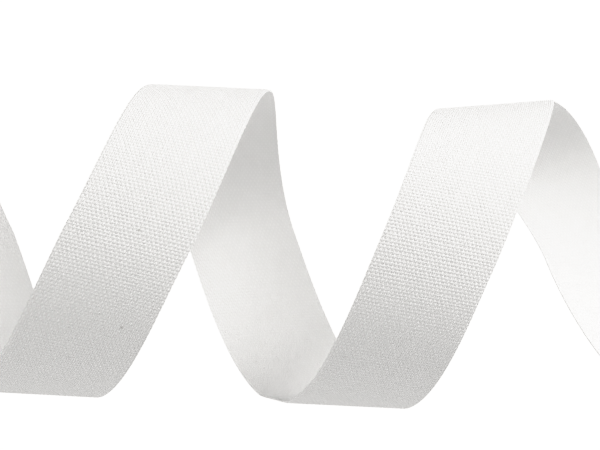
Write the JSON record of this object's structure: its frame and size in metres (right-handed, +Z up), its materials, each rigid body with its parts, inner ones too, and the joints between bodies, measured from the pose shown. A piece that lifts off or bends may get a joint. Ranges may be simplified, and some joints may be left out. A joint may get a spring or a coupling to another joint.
{
  "type": "cotton tape in an open spiral",
  "caption": "Length of plain-woven cotton tape lying as an open left-handed spiral, resting on the bottoms of its loops with both cut ends flat",
  "frame": {"origin": "on the surface the tape lies on, at the bottom centre of its box", "axes": "+X along the spiral's axis, towards its more open end; +Y from the side of the loops that rises towards +X to the side that falls; +Z up"},
  "size_m": [0.2134, 0.0633, 0.0572],
  "materials": {
    "cotton": "matt white plain weave"
  },
  "bodies": {
    "root": {"tape": "cotton"}
  },
  "joints": []
}
